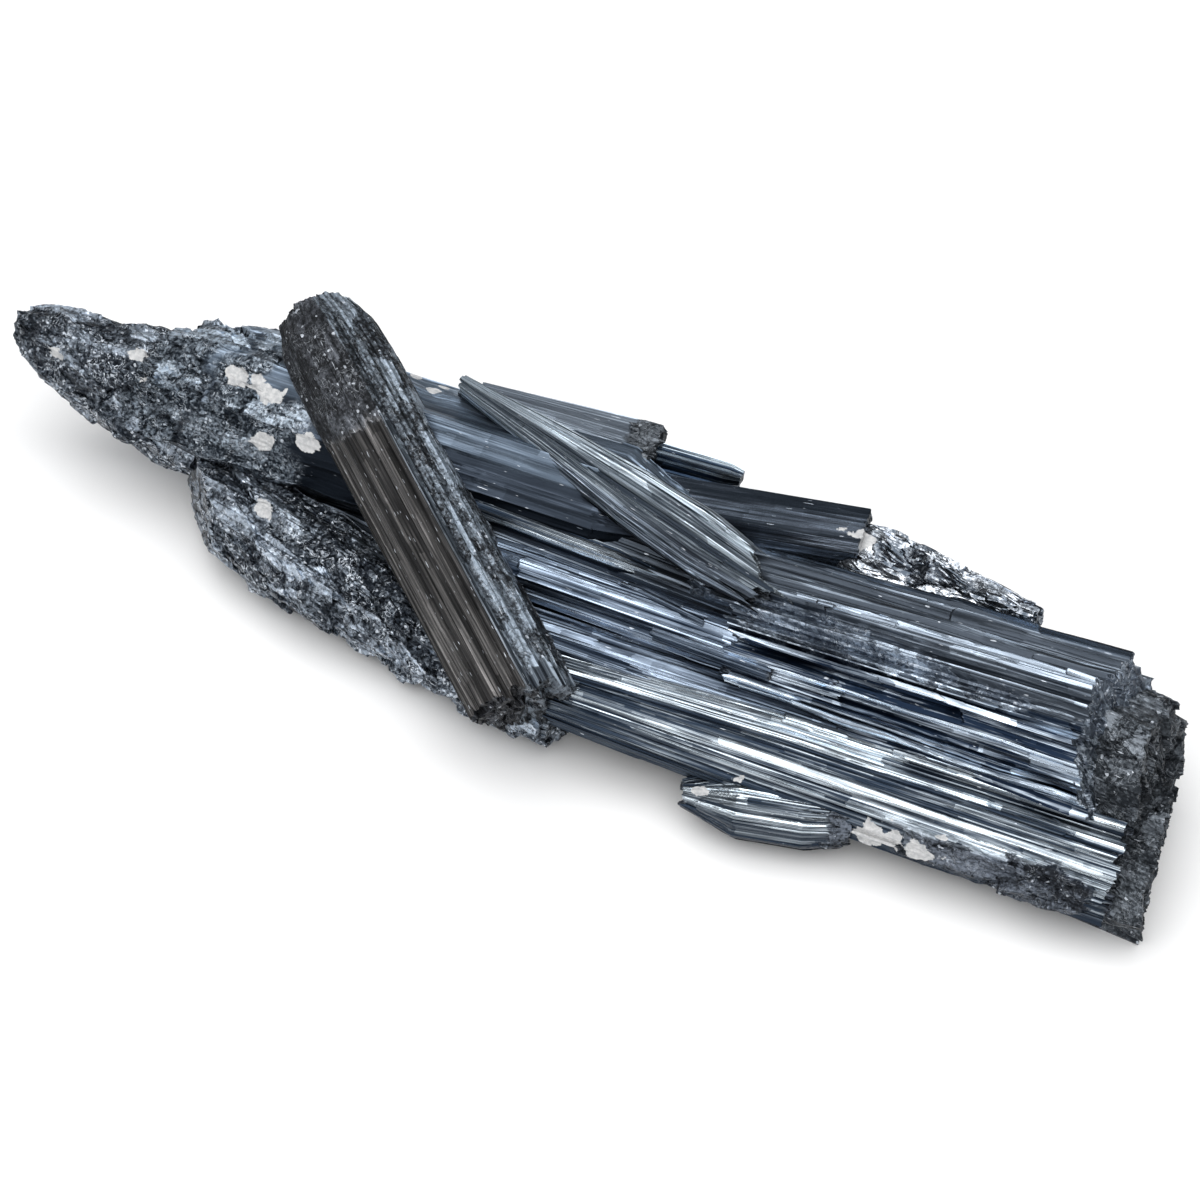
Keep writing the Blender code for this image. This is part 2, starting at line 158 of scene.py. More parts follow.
# %% The prisms that grew side by side
GROWN = [
    Crystal("main_prism", (11.5, 1.0, 12.2), (50.0, 3.0, 13.3),
            ((-7.5, 0.0), (-7.0, -5.0), (-3.0, -7.5), (6.0, -7.0), (8.5, -1.0), (7.5, 5.5),
             (1.0, 7.5), (-4.5, 5.0)), 19, ends=(1.8, 0.45), tint_and_shade_from=-3.2, shade_below=-0.6,
            start_slant=(-0.8, 0.0), end_slant=(0.2, -0.5), knots=((0, 0.9, 0.85), (1, 1, 1)),
            steps=(1.9, 1.0), ridges=(0.7, 0.2), lines=(0.3, 0.04), column=0.14, finish="flaky",
            crust=((0.05, 0.03, 0.42, -3.6, 0.2), (0.05, 0.38, 0.64, -3.4, -0.8),
                   (0.04, 0.66, 0.86, -3.4, -1.8))),
    Crystal("rear_prism", (22.0, 6.0, 8.5), (53.8, 4.6, 9.2), rhomb(15.5, 15.5, -1.0), 20,
            finish="slate", ends=(0.5, 0.7), end_slant=(-0.1, -0.15), column=0.18,
            crust=((0.3, 0.78, 9, -99, 99),)),
    Crystal("upper_blade", (-14.0, 2.2, 14.5), (22.0, 3.5, 13.0), rhomb(7.0, 6.0, 1.0), 21,
            finish="slate"),
    Crystal("middle_blade", (-12.0, -2.6, 12.6), (24.0, -0.6, 12.0), rhomb(5.6, 6.5, 0.0), 22),
    Crystal("lower_blade", (-8.0, -6.6, 9.8), (26.0, -3.6, 9.0), rhomb(5.0, 6.0, 0.0), 23),
    Crystal("bright_rod", (-14.0, 0.6, 15.4), (6.0, 1.4, 14.7), slab(2.2, 2.4, 0.35), 31,
            finish="polished",
            knots=((0, 1, 1), (0.75, 1, 1), (1, 0.4, 0.5)), steps=(1.5, 0.06), ridges=(0.6, 0.05),
            lines=(0.2, 0.015), column=0.08),
    Crystal("short_rod", (3.2, -1.0, 14.7), (11.6, -1.6, 14.5), slab(1.3, 1.6, 0.35), 32,
            knots=((0, 0.6, 0.6), (0.2, 1, 1), (1, 0.8, 0.8)), steps=(1.5, 0.05),
            ridges=(0.5, 0.04), lines=(0.2, 0.01), column=0.06),
    Crystal("thin_rod", (7.5, -3.6, 13.2), (19.0, -3.7, 13.8), slab(1.3, 1.4, 0.3), 33,
            steps=(1.5, 0.05), ridges=(0.5, 0.05), lines=(0.2, 0.015), column=0.06),
    Crystal("thin_blade", (-2.0, -7.7, 10.9), (13.0, -6.5, 10.2), slab(1.7, 2.0, 0.2), 34,
            knots=((0, 1, 1), (0.7, 0.9, 0.9), (1, 0.3, 0.4)), steps=(1.2, 0.1),
            ridges=(0.5, 0.08), lines=(0.2, 0.02), column=0.07),
    Crystal("front_prism", (0.0, -10.4, 7.8), (53.8, -5.7, 5.8),
            ((-3.5, -0.6), (-2.6, -2.8), (0.0, -3.7), (2.7, -2.6), (4.5, 0.4), (4.4, 3.4),
             (3.2, 4.7), (-1.0, 3.7), (-2.9, 1.9)), 24,
            knots=((0, 0.75, 0.8), (0.4, 1, 1), (1, 1.1, 1.1)),
            steps=(1.6, 0.35), ridges=(0.6, 0.16), lines=(0.25, 0.05), column=0.11,
            finish="polished", shade_below=0.45,
            crust=((0.4, 0.62, 0.98, -99, -2.5), (0.4, 0.8, 0.95, -99, -1.9))),
    # The front lower face keeps the plain finish's near-black first colours: painted shade.
    Crystal("left_upper_prism", (-50.0, 4.6, 13.0), (6.0, 8.0, 12.6), rhomb(15.4, 15.4, -1.0), 25,
            rough=(0.35, 0.0), start_slant=(0.3, 0.2), steps=(4.0, 0.25), ridges=(1.1, 0.1),
            lines=(0.4, 0.02), finish="plain", shade_below=0.72, tint_and_shade_from=-3.4,
            knots=((0, 0.8, 0.8), (0.1, 1, 0.96), (0.85, 1, 1), (1, 0.4, 0.6)),
            crust=((0.9, -9, 0.13, -99, 99), (0.5, 0.13, 0.23, -99, 99), (0.35, 0.22, 0.31, 1.5, 99),
                   (0.3, 0.2, 0.34, -99, -3.2)),
            column=0.17, row=0.3),
    Crystal("left_lower_prism", (-42.0, -3.4, 7.0), (1.0, -9.0, 5.2), rhomb(11.0, 10.4, 0.0), 26,
            rough=(0.5, 0.3), start_slant=(-1.2, 0.2), finish="granular", column=0.15,
            steps=(2.2, 0.6), ridges=(0.8, 0.2),
            knots=((0, 0.75, 0.85), (0.2, 1, 1), (1, 0.9, 0.9)),
            crust=((0.45, -9, 0.14, -99, 99), (0.2, 0.1, 9, -99, 99), (0.3, 0.3, 0.9, -5, 1.5),
                   (0.4, -9, 9, -99, -3.4))),
    Crystal("root_tip", (-66.0, 2.9, 13.6), (-43.0, 3.6, 9.8), rhomb(12.0, 12.5, 0.0), 27,
            rough=(0.4, 0.8), knots=((0, 0.3, 0.35), (0.15, 0.6, 0.65), (0.7, 1, 1.05), (1, 1, 1)),
            finish="granular", crust=((0.5, *EVERYWHERE),), column=0.15),
    Crystal("base_prism", (-34.0, 1.5, 4.5), (55.8, 1.0, 4.5),
            ((-9.6, 0.5), (-7.6, -4.5), (-2.6, -4.5), (-1.4, -3.5), (1.6, -3.7), (2.6, -4.5),
             (6.4, -4.5), (8.6, -1.4), (8.8, 4.4), (-6.6, 4.2)), 28, finish="slate",
            rough=(0.4, 0.5), flat_below=-4.0, end_slant=(-0.18, 0.0), column=0.2, row=0.4,
            knots=((0, 0.5, 1), (0.2, 0.85, 1), (1, 1, 1)), crust=((0.3, 0.93, 9, -99, 99),)),
]
CRYSTALS = LYING + GROWN
print(len(CRYSTALS), "crystals for", len({c.node for c in CRYSTALS}), "nodes")

# %% [markdown]
# ## Pale mineral on the crystals
# Here and there a little white calcite or dust has stayed on the dark faces, and one patch, at the end of the back
# plate, is a painted reflection. It is only colour, so it isn't raised: each patch is a ball in space, and the
# finish whitens what lies inside a ball, with an uneven edge.

# %% Where the pale patches are: x, y, z and radius in millimetres
PALE = np.array((
    (-40.4, 2.3, 18.7, 1.6), (-36.6, 2.3, 18.6, 2.1), (-35.5, -1.3, 15.2, 1.7),
    (-30.9, -0.2, 16.6, 1.5), (-33.6, -5.3, 11.1, 1.7), (-59.8, 0.3, 14.8, 0.9),
    (-51.7, 2.1, 16.7, 1.4), (-49.2, -0.3, 16.1, 1.0), (32.9, -10.8, 5.9, 2.8),
    (37.4, -10.2, 6.1, 2.2), (34.2, -10.0, 9.0, 0.7), (38.8, -9.7, 8.8, 0.8),
    (19.8, -11.6, 8.0, 1.1), (22.6, -10.7, 9.4, 0.7), (16.6, -12.9, 5.8, 1.0),
    (-25.5, 10.9, 18.2, 0.8), (-22.7, 9.5, 18.4, 1.0), (-22.2, 10.7, 18.2, 0.6),
    # A painted reflection: the white flash at the back plate's end, not mineral.
    (20.2, 12.4, 16.3, 2.0),
))


def pale_field(points):
    """1 at a patch's centre, falling in a straight line to 0 at its radius, which is a third longer
    along X and a quarter shorter along Y. Where two patches meet, the larger value counts."""
    away = (points[:, None] - (PALE[None, :, :3] - ORIGIN)) * (0.75, 1.3, 1)
    away = np.linalg.norm(away, axis=2)
    return np.clip(1 - away / PALE[:, 3], 0, 1).max(axis=1)


# %% [markdown]
# ## Roughness made of flat facets
# A broken crystal end is not smooth noise: it is thousands of small flat cleavage faces at all
# angles. Here each point takes the height of the nearest of many scattered cell centres, and every
# cell has a height and a tilt of its own, so the surface comes out as small flat planes that meet in
# sharp lines. The scatter comes from mixing whole numbers, so it is the same every time.

# %% Scattered numbers and facets


def scatter(cells, salt):
    """A number from 0 to 1 for each whole-number cell: its indices are multiplied by large odd
    numbers, joined bit by bit, and mixed by shifts until nearby cells have nothing in common."""
    x, y, z = (cells[:, k].astype(np.int64) for k in range(3))
    mixed = (x * 73856093) ^ (y * 19349663) ^ (z * 83492791) ^ (salt * 40503)
    mixed = (mixed & 0xFFFFFFFF).astype(np.uint64)
    for shift, factor in ((15, 2246822519), (13, 3266489917)):
        mixed = ((mixed ^ (mixed >> np.uint64(shift))) * np.uint64(factor)) & np.uint64(0xFFFFFFFF)
    return ((mixed ^ (mixed >> np.uint64(16))) & np.uint64(0xFFFF)).astype(float) / 65535


def facets(points, size, seed):
    """Heights from about -1 to 1 of flat faces roughly size wide: for each point, the nearest cell
    centre's own height plus the distance from that centre along the cell's own tilt. Also gives
    each point its cell's tone, a number from 0 to 1."""
    home = np.floor(points / size)
    nearest = np.full(len(points), np.inf)
    owner, gap = home.copy(), np.zeros_like(points)
    for step in np.ndindex(3, 3, 3):
        cells = home + np.array(step) - 1
        jitter = np.stack([scatter(cells, seed + k) for k in range(3)], axis=1)
        away = points / size - cells - jitter
        distance = (away**2).sum(axis=1)
        closer = distance < nearest
        nearest = np.where(closer, distance, nearest)
        owner[closer] = cells[closer]
        gap[closer] = away[closer]
    tilt = np.stack([scatter(owner, seed + k) - 0.5 for k in (3, 4, 5)], axis=1)
    height = scatter(owner, seed + 6) - 0.5 + 2 * (gap * tilt).sum(axis=1)
    return height, scatter(owner, seed + 7)


LUMP_WAVE = 5.5  # mm from one rounded lump of a rough surface to the next


def lumps(points, seed):
    """Rounded lumps from -1 to 1: the mean of three crossing sine waves about LUMP_WAVE long."""
    k = 2 * math.pi / LUMP_WAVE
    x, y, z = points.T
    return (
        np.sin(k * (0.9 * x + 0.5 * y) + seed)
        + np.sin(k * (0.6 * y - 0.8 * z) + 2 * seed)
        + np.sin(1.7 * k * (0.5 * z + 0.6 * x - 0.4 * y) + 3 * seed)
    ) / 3


sample, _ = facets(np.random.default_rng(1).uniform(0, 30, (20000, 3)), 1.0, 5)
print("facet heights from", sample.min().round(2), "to", sample.max().round(2))

# %% [markdown]
# ## Ridges that run along a prism
# The sides of stibnite are striated: crest and valley follow each other round the prism, and each
# ridge is two narrow flat faces. A ridge is not endless. It drifts up and down, and here and there a
# sliver has snapped off and left a step. So crests and valleys are put at chosen columns of the
# mesh, with straight lines between them, and their heights change along the prism.

# %% Ridges round an outline


def drifting(count, places, wave, rng):
    """One slowly changing value for each of count ridges, at each place along: random values every
    wave millimetres with straight lines between them."""
    knots = np.arange(places[0] - wave, places[-1] + 2 * wave, wave)
    values = rng.normal(size=(count, len(knots)))
    at = (places - knots[0]) / wave
    whole = np.floor(at).astype(int)
    part = at - whole
    return values[:, whole] * (1 - part) + values[:, whole + 1] * part


def snapped(count, places, run, rng):
    """One value for each ridge that holds for a length and then jumps: a value is drawn for each
    stretch of about run millimetres, and each ridge has its own places where it jumps."""
    stretches = max(2, int((places[-1] - places[0]) / run) + 1)
    cuts = np.sort(rng.uniform(places[0], places[-1], (count, stretches - 1)), axis=1)
    which = (places[None, :, None] > cuts[:, None, :]).sum(axis=2)
    values = rng.uniform(0, 1, (count, stretches))
    return np.take_along_axis(values, which, axis=1)


def ridges(around, girth, places, spacing, height, rng):
    """Depth below the outline and tone, for each column and each place along: crests and valleys
    stand at columns about half of spacing apart, the depth between them changes in a straight line,
    and their depths drift and snap along the crystal. Each narrow face has one tone from 0 to 1,
    which changes where a stretch of it has snapped off."""
    count = min(len(around), max(4, int(2 * girth / spacing) // 2 * 2))
    even = (np.arange(count) + 0.5 + 0.7 * (rng.random(count) - 0.5)) * len(around) / count
    at = around[np.minimum(len(around) - 1, np.maximum.accumulate(even.astype(int) + 1))]
    fence = np.concatenate([[at[-1] - girth], at, [at[0] + girth]])
    left = np.clip(np.searchsorted(fence, around, side="right") - 1, 0, count)
    part = ((around - fence[left]) / (fence[left + 1] - fence[left]))[:, None]
    depth = 0.2 * rng.random(count)[:, None] + 0.5 * (np.arange(count) % 2)[:, None]
    depth = depth + 0.1 * drifting(count, places, 6.0, rng) + 0.3 * snapped(count, places, 14.0, rng)
    depth = height * 1.6 * np.clip(depth, 0, 1.2)
    tone = 0.55 * rng.random(count + 1)[:, None] + 0.45 * snapped(count + 1, places, 16.0, rng)
    return depth[(left - 1) % count] * (1 - part) + depth[left % count] * part, tone[left]


# %% [markdown]
# ## From the description to a surface
# The whole skin of a crystal, with both its ends, is one grid: columns go round the outline, and
# rows go from the middle of the start face out to its edge, along the sides, and over the edge of
# the end face to its middle. So the surface is a function of two numbers and closes without a seam.

# %% One crystal's surface


def outline_columns(crystal):
    """The mesh columns round the outline: every side is cut into equal parts, so that a column runs
    down each edge. Gives each column's point, its direction out, and its distance round."""
    corners = np.array(crystal.outline, float)
    following = np.roll(corners, -1, axis=0)
    sides = np.linalg.norm(following - corners, axis=1)
    parts = np.maximum(1, np.round(sides / (crystal.column * coarser))).astype(int)
    side = np.repeat(np.arange(len(corners)), parts)
    share = np.concatenate([np.arange(n) / n for n in parts])
    points = corners[side] + (following - corners)[side] * share[:, None]
    facing = (following - corners)[:, ::-1] * (1, -1) / sides[:, None]
    before = facing[(side - 1) % len(corners)]
    out = np.where(share[:, None] == 0, facing[side] + before, facing[side])
    out /= np.linalg.norm(out, axis=1, keepdims=True)
    starts = np.concatenate([[0], np.cumsum(sides)])
    return points, out, starts[side] + sides[side] * share, starts[-1]


def axes(crystal):
    """The crystal's start, its length, and its directions across, up and along."""
    start = np.array(crystal.start) - ORIGIN
    reach = np.array(crystal.end) - ORIGIN - start
    length = np.linalg.norm(reach)
    along = reach / length
    across = np.cross((0, 0, 1), along)
    across /= np.linalg.norm(across)
    return start, length, np.stack([across, np.cross(along, across), along])


coarser = 1.0


TONES = (0.4, 0.35, 0.25)  # how much the steps, the ridges and the finest lines count in the tone


def over_ends(values, rings):
    """Columns x rows turned to rows x columns, with the first and last row repeated over the ends."""
    return np.pad(values.T, ((rings, rings), (0, 0)), mode="edge")


def window(value, low, high, soft):
    """1 between low and high, falling to 0 over soft inside each end."""
    return np.clip((value - low) / soft, 0, 1) * np.clip((high - value) / soft, 0, 1)


def crystal_grid(crystal):
    """The surface as rows x columns of points in millimetres, with its masks.

    For the column u and the share v along, a side point is the outline's point times the taper, moved
    in by the ridges and out by the lumps and facets. An end face is the same edge drawn in to the
    centre, and it is pushed in and out along the crystal by facets.
    """
    rng = np.random.default_rng(crystal.seed)
    points, out, around, girth = outline_columns(crystal)
    start, length, frame_axes = axes(crystal)
    radius = np.linalg.norm(points, axis=1).max()
    rings = max(4, int(radius / (0.22 * coarser)))
    inner = np.linspace(0, 1, rings + 1)[1:-1]
    count = max(8, int(length / (crystal.row * coarser)))
    v_side = np.linspace(0, 1, count)
    share = np.concatenate([inner, np.ones(count), inner[::-1]])
    v = np.concatenate([0 * inner, v_side, 0 * inner + 1])
    at, widths, heights = zip(*crystal.knots)
    taper = np.stack([np.interp(v, at, widths), np.interp(v, at, heights)], axis=1)
    place = points[None] * taper[:, None]
    places = v_side * length
    levels = [ridges(around, girth, places, *level, rng)
              for level in (crystal.steps, crystal.ridges, crystal.lines)]
    depth = over_ends(sum(level[0] for level in levels), rings - 1)
    tone = over_ends(sum(share * level[1] for share, level in zip(TONES, levels)), rings - 1)
    smooth = points[:, 1] < crystal.flat_below
    rough = crystal.rough[0] * (1 - v) + crystal.rough[1] * v
    local = np.concatenate([place, np.broadcast_to((v * length)[:, None, None],
                                                   (*place.shape[:2], 1))], axis=2)
    flat_local = local.reshape(-1, 3)
    relief = rough[:, None] * lumps(flat_local, crystal.seed).reshape(place.shape[:2])
    ridged = depth * taper.min(axis=1)[:, None]
    crust = np.zeros(place.shape[:2])
    worn = np.zeros(place.shape[:2])
    crumbs = 0.1 if crystal.finish == "broken" else 0.4
    if crystal.crust:
        wave = [lumps(scale * flat_local, 7 + k).reshape(crust.shape)
                for k, scale in enumerate((0.9, 1.6))]
        for height, first_v, last_v, first_a, last_a in crystal.crust:
            patch = window(v[:, None] + 0.03 * wave[0], first_v, last_v, 0.02)
            patch = patch * window(place[:, :, 0] + 0.5 * wave[1], first_a, last_a, 0.8)
            made = [facets(flat_local * (1, 1, 0.45), size, crystal.seed + salt)
                    for size, salt in ((2.4, 0), (0.8, 50))]
            big, small = (height.reshape(crust.shape) for height, _ in made)
            grain = (0.7 * made[0][1] + 0.3 * made[1][1]).reshape(crust.shape)
            relief += patch * height * (0.8 * big + crumbs * small - 0.3)
            worn = np.maximum(worn, patch * min(1, 3 * height))
            tone = np.where(patch > 0.5, grain, tone)
            crust = np.maximum(crust, patch)
    relief -= ridged * (1 - 0.8 * worn)
    relief[:, smooth] = 0
    reach = np.linalg.norm(place, axis=2)
    relief = np.maximum(relief, -0.4 * reach)
    section = (place + out[None] * relief[:, :, None]) * share[:, None, None]
    lean = (section @ np.array(crystal.start_slant)) * (1 - v)[:, None]
    lean += (section @ np.array(crystal.end_slant)) * v[:, None]
    (first, first_tone), (last, last_tone) = (end_chips(section, side, crystal) for side in (0, 1))
    along = v[:, None] * length + lean + first * (1 - v)[:, None] + last * v[:, None]
    broken = np.where(share < 1, 1.0, 0.0)[:, None] * np.ones(len(points))[None]
    tone = np.where(broken > 0, np.where(v[:, None] < 0.5, first_tone, last_tone), tone)
    grid = np.concatenate([section, along[:, :, None]], axis=2) @ frame_axes + start
    upward = (out @ frame_axes[:2])[:, 2]
    # Painted shade: sides whose direction out rises less than shade_below are darkened in the finish.
    painted_under_shade = np.clip((crystal.shade_below - upward) / 0.4, 0, 1)[None] * (share[:, None] == 1)
    # Past this place across the finish takes its second colours; on the splinter and the upper left prism the darker
    # first colours are painted shade on the front side.
    tint_and_shade_side = np.clip((place[:, :, 0] - crystal.tint_and_shade_from) / 0.4, 0, 1)
    shown = {"broken": broken, "crust": crust, "valley": depth / max(1e-6, depth.max()),
             "painted_under_shade": painted_under_shade, "tint_and_shade_side": tint_and_shade_side, "pale": pale_field(grid.reshape(-1, 3))}
    return grid, shown, tone, around, girth, v * length, share


def end_chips(section, side, crystal):
    """How far the facets of one end push each point along the crystal. Points of a side take the
    value at the edge beside them, so the edge itself is jagged too."""
    shape = section.shape[:2]
    where = np.concatenate([section * (1, 0.5), np.full((*shape, 1), 9.0 * side)], axis=2)
    where = where.reshape(-1, 3)
    height = crystal.ends[side]
    big, _ = facets(where, 2.0, crystal.seed + 100 + side)
    small, tone = facets(where, 0.5, crystal.seed + 200 + side)
    return height * (1.1 * big + 0.45 * small).reshape(shape), tone.reshape(shape)


# %% [markdown]
# ## From a grid to a mesh
# The grid's neighbours are joined into triangles, and each pole is closed by a fan. The faces are shaded smooth, but
# edges sharper than 16 degrees stay crisp, as on a real crystal. A UV map in millimetres, round and along, lets the
# finish draw lines that follow the crystal, and three masks tell it where the surface is broken, crusty or deep in a
# valley.

# %% Meshes from grids


def skin_triangles(rows, columns, width):
    """Corner indices of the grid's triangles, for a grid stored width wide. Columns wrap round when
    width equals columns."""
    r, c = (a.ravel() for a in np.meshgrid(np.arange(rows - 1), np.arange(columns), indexing="ij"))
    right = (c + 1) % width
    a, b = r * width + c, r * width + right
    d, e = a + width, b + width
    return np.concatenate([np.stack([a, b, e], 1), np.stack([a, e, d], 1)])


def fan(first, columns, pole, width, inward):
    """A pole's triangles: the row that starts at index first, joined to the point pole."""
    c = np.arange(columns)
    a, b = first + c, first + (c + 1) % width
    tip = np.full(columns, pole)
    return np.stack([a, b, tip] if inward else [b, a, tip], axis=1)


def mesh_from_grid(name, grid, masks, tone, uv):
    """A closed mesh: the grid's skin and a fan at each end. Each face keeps one tone."""
    rows, columns = grid.shape[:2]
    poles = np.stack([grid[0].mean(axis=0), grid[-1].mean(axis=0)])
    points = np.concatenate([grid.reshape(-1, 3), poles]) * MM
    last = rows * columns
    faces = np.concatenate([
        skin_triangles(rows, columns, columns),
        fan(0, columns, last, columns, False),
        fan(last - columns, columns, last + 1, columns, True),
    ])
    wide = columns + 1
    uv_points = np.concatenate([uv.reshape(-1, 2), uv[0, :1], uv[-1, :1]])
    uv_last = rows * wide
    uv_faces = np.concatenate([
        skin_triangles(rows, columns, wide),
        fan(0, columns, uv_last, wide, False),
        fan(uv_last - wide, columns, uv_last + 1, wide, True),
    ])
    mesh = bpy.data.meshes.new(name)
    mesh.from_pydata(points, [], faces)
    mesh.shade_smooth()
    mesh.set_sharp_from_angle(angle=math.radians(16))
    layer = mesh.uv_layers.new(name="grain")
    layer.uv.foreach_set("vector", uv_points[uv_faces].astype(np.float32).ravel())
    for mask, values in masks.items():
        made = mesh.attributes.new(mask, "FLOAT", "POINT")
        full = np.concatenate([values.ravel(), [values[0].mean(), values[-1].mean()]])
        made.data.foreach_set("value", full.astype(np.float32))
    made = mesh.attributes.new("tone", "FLOAT", "FACE")
    skin = tone[:-1].ravel()
    made.data.foreach_set("value", np.concatenate([skin, skin, tone[0], tone[-1]]).astype(np.float32))
    return mesh


def make_crystal(crystal):
    """The crystal's object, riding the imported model's root and standing for its node."""
    grid, masks, tone, around, girth, along, share = crystal_grid(crystal)
    ring = np.append(around, girth)
    uv = np.stack(np.broadcast_arrays(ring[None], (along + 3.0 * (1 - share))[:, None]), axis=2)
    mesh = mesh_from_grid(crystal.name, grid, masks, tone, uv)
    obj = bpy.data.objects.new(crystal.name + "_skin", mesh)
    bpy.context.scene.collection.objects.link(obj)
    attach(obj, "root")
    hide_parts(crystal.node)
    return obj


skins = {crystal.name: make_crystal(crystal) for crystal in CRYSTALS}
total = sum(len(obj.data.polygons) for obj in skins.values())
print("skins:", len(skins), "triangles:", total, "most:",
      max((len(obj.data.polygons), obj.name) for obj in skins.values()))

# %% [markdown]
# ## Effects that several finishes share
# Fine lines along the crystal, small cleavage faces with painted glints, uneven grain with painted glint lines, and
# pale mineral dust turn up on most of the crystals. Each is a node group, made once and placed in each material with
# its own values, so a change to the effect changes every finish alike.

# %% A helper for node groups and materials


class Nodes:
    """Short ways to add nodes to a tree and to link them."""

    def __init__(self, tree):
        self.tree = tree

    def add(self, kind, inputs=(), **settings):
        node = self.tree.nodes.new(kind)
        for key, value in settings.items():
            setattr(node, key, value)
        for key, value in dict(inputs).items():
            if isinstance(value, bpy.types.NodeSocket):
                self.tree.links.new(value, node.inputs[key])
            else:
                node.inputs[key].default_value = value
        return node

    def math(self, operation, first, second=0.0, clamp=False):
        node = self.add("ShaderNodeMath", {0: first, 1: second}, operation=operation, use_clamp=clamp)
        return node.outputs[0]

    def ramp(self, value, low, high):
        """0 below low, 1 above high, and a smooth rise between them."""
        node = self.add("ShaderNodeMapRange", {"Value": value, "From Min": low, "From Max": high},
                        interpolation_type="SMOOTHSTEP")
        return node.outputs["Result"]

    def mix(self, share, first, second):
        """A colour between two colours."""
        node = self.add("ShaderNodeMix", {"Factor": share}, data_type="RGBA")
        for key, value in ((6, first), (7, second)):
            if isinstance(value, bpy.types.NodeSocket):
                self.tree.links.new(value, node.inputs[key])
            else:
                node.inputs[key].default_value = (*value, 1)
        return node.outputs[2]

    def mask(self, name):
        return self.add("ShaderNodeAttribute", attribute_name=name).outputs["Fac"]


def new_group(name, inputs, outputs):
    """An empty shader node group with float inputs and outputs. Gives its Nodes and both ends."""
    tree = bpy.data.node_groups.new(name, "ShaderNodeTree")
    for key, value in inputs.items():
        made = tree.interface.new_socket(key, in_out="INPUT", socket_type="NodeSocketFloat")
        made.default_value = value
    for key in outputs:
        tree.interface.new_socket(key, in_out="OUTPUT", socket_type="NodeSocketFloat")
    nodes = Nodes(tree)
    return nodes, nodes.add("NodeGroupInput").outputs, nodes.add("NodeGroupOutput").inputs, tree


# %% Lines along the crystal
def striation_group():
    """Three layers of noise drawn out along the crystal: Streak is broad, Hair is fine, and the third gives short
    bright dashes, partly specks and partly painted glints. Height is Streak with a little of Hair.
    """
    nodes, given, made, tree = new_group(
        "striations", {"Lines per mm": 2.0, "Run": 0.12, "Offset": 0.0},
        ("Streak", "Hair", "SpeckAndGlint", "Height"))
    grain = nodes.add("ShaderNodeUVMap", uv_map="grain").outputs["UV"]
    parts = nodes.add("ShaderNodeSeparateXYZ", {0: grain}).outputs
    for key, fineness, drawn, detail in (("Streak", 1.0, 1.0, 2.0), ("Hair", 4.0, 1.0, 2.0),
                                         ("SpeckAndGlint", 2.2, 6.0, 1.0)):
        lines = nodes.math("MULTIPLY", given["Lines per mm"], fineness)
        across = nodes.math("MULTIPLY", parts["X"], lines)
        run = nodes.math("MULTIPLY", nodes.math("MULTIPLY", parts["Y"], given["Run"]), drawn)
        where = nodes.add("ShaderNodeCombineXYZ", {0: across, 1: run, 2: given["Offset"]}).outputs[0]
        noise = nodes.add("ShaderNodeTexNoise",
                          {"Vector": where, "Scale": 1.0, "Detail": detail, "Roughness": 0.55})
        nodes.tree.links.new(noise.outputs["Fac"], made[key])
        if key == "Streak":
            broad = noise.outputs["Fac"]
        elif key == "Hair":
            fine = noise.outputs["Fac"]
    height = nodes.math("ADD", nodes.math("MULTIPLY", broad, 1.0), nodes.math("MULTIPLY", fine, 0.45))
    nodes.tree.links.new(height, made["Height"])
    return tree


# %% Sparkling cleavage faces
def glitter_group():
    """Small flat cells, each with a random height and brightness. Sparkle is 1 on the few brightest cells, where the
    finish paints glints on rough places, and Facet is every cell's own value."""
    nodes, given, made, tree = new_group(
        "glitter", {"Cells per mm": 4.0, "Share": 0.04}, ("Facet", "Sparkle"))
    where = nodes.add("ShaderNodeTexCoord").outputs["Object"]
    scale = nodes.math("MULTIPLY", given["Cells per mm"], 1 / MM)
    cells = nodes.add("ShaderNodeTexVoronoi", {"Vector": where, "Scale": scale}, feature="F1")
    value = nodes.add("ShaderNodeSeparateColor", {0: cells.outputs["Color"]}).outputs["Red"]
    nodes.tree.links.new(value, made["Facet"])
    limit = nodes.math("SUBTRACT", 1.0, given["Share"])
    nodes.tree.links.new(nodes.math("GREATER_THAN", value, limit), made["Sparkle"])
    return tree
